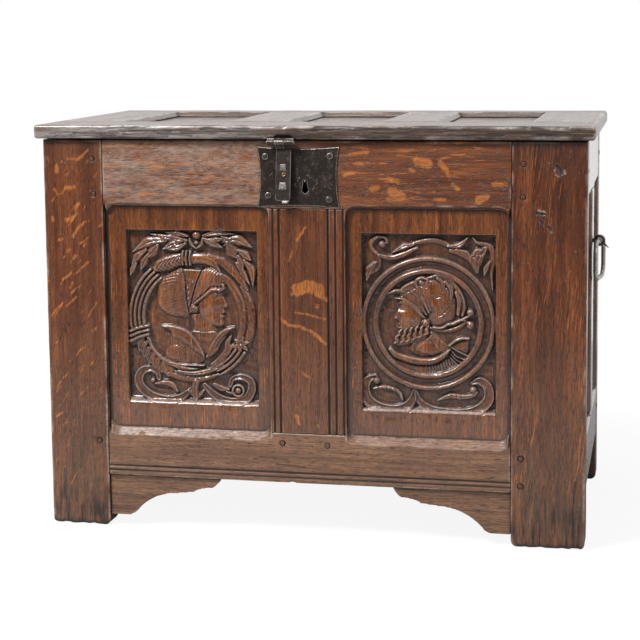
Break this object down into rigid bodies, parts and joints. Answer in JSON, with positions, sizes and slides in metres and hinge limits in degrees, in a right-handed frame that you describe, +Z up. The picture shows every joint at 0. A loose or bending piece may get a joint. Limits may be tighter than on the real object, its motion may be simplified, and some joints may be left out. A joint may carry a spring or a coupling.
{
  "type": "coffer chest",
  "caption": "Framed and panelled oak coffer with carved roundel front panels, a hinged panelled lid, iron lock with hasp, and ring handles.",
  "frame": {"origin": "on the floor, at the middle of the space the closed coffer takes up", "axes": "+Z up, the front faces -Y, +X to the right of someone facing the front"},
  "size_m": [1.0154, 0.5394, 0.7287],
  "materials": {
    "oak": "dark waxed oak, worn",
    "oak_carved": "dark waxed oak, carved",
    "oak_lid": "worn waxed oak",
    "oak_inside": "dry unfinished oak",
    "oak_pegs": "dark end grain oak",
    "iron": "forged, dark patina",
    "iron_worn": "forged, rubbed bright",
    "brass": "tarnished"
  },
  "bodies": {
    "carcass": {"frame_pegs": "oak_pegs", "front_left_panel": "oak_carved", "front_right_panel": "oak_carved", "front_muntin": "oak", "front_top_rail": "oak", "front_bottom_rail": "oak", "front_left_bracket": "oak", "front_right_bracket": "oak", "left_side_front_panel": "oak", "left_side_rear_panel": "oak", "left_side_top_rail": "oak", "left_side_bottom_rail": "oak", "left_side_muntin": "oak", "right_side_front_panel": "oak", "right_side_rear_panel": "oak", "right_side_top_rail": "oak", "right_side_bottom_rail": "oak", "right_side_muntin": "oak", "rear_left_panel": "oak", "rear_right_panel": "oak", "rear_muntin": "oak", "rear_top_rail": "oak", "rear_bottom_rail": "oak", "front_left_stile": "oak", "front_right_stile": "oak", "rear_left_stile": "oak", "rear_right_stile": "oak", "front_floor_board": "oak_inside", "middle_floor_board": "oak_inside", "rear_floor_board": "oak_inside", "lock_plate_nails": "iron", "lock_plate": "iron", "key_pin": "iron", "lock_case": "iron", "hinge_pins": "iron_worn", "hinge_nails": "iron", "left_hinge_body_strap": "iron", "right_hinge_body_strap": "iron", "left_handle_staple": "iron", "right_handle_staple": "iron"},
    "lid": {"lid_left_panel": "oak_lid", "lid_middle_panel": "oak_lid", "lid_right_panel": "oak_lid", "lid_left_stile": "oak_lid", "lid_left_muntin": "oak_lid", "lid_right_muntin": "oak_lid", "lid_right_stile": "oak_lid", "lid_front_rail": "oak_lid", "lid_rear_rail": "oak_lid", "lid_nails": "iron", "left_hinge_lid_strap": "iron", "right_hinge_lid_strap": "iron", "hasp_pin": "iron_worn", "hasp_hanger": "iron"},
    "hasp": {"hasp": "iron", "hasp_staple": "iron_worn", "hasp_rivet": "brass"},
    "bolt": {"lock_bolt": "iron_worn"},
    "left_handle": {"left_handle_ring": "iron_worn"},
    "right_handle": {"right_handle_ring": "iron_worn"}
  },
  "joints": [
    {"name": "lid_hinge", "type": "hinge", "parent": "carcass", "child": "lid", "pos_m": [0, 0.2627, 0.696], "axis": [-1, 0, 0], "range_deg": [0, 100]},
    {"name": "hasp_hinge", "type": "hinge", "parent": "lid", "child": "hasp", "pos_m": [-0.045, -0.2598, 0.699], "axis": [-1, 0, 0], "range_deg": [-8, 150]},
    {"name": "bolt_slide", "type": "slide", "parent": "carcass", "child": "bolt", "axis": [-1, 0, 0], "range_m": [0, 0.014]},
    {"name": "right_handle_swing", "type": "hinge", "parent": "carcass", "child": "right_handle", "pos_m": [0.4905, 0.0042, 0.505], "axis": [-0.1392, -0.9903, 0], "range_deg": [0, 170]},
    {"name": "left_handle_swing", "type": "hinge", "parent": "carcass", "child": "left_handle", "pos_m": [-0.4905, 0.0042, 0.505], "axis": [-0.1392, 0.9903, 0], "range_deg": [0, 170]}
  ]
}
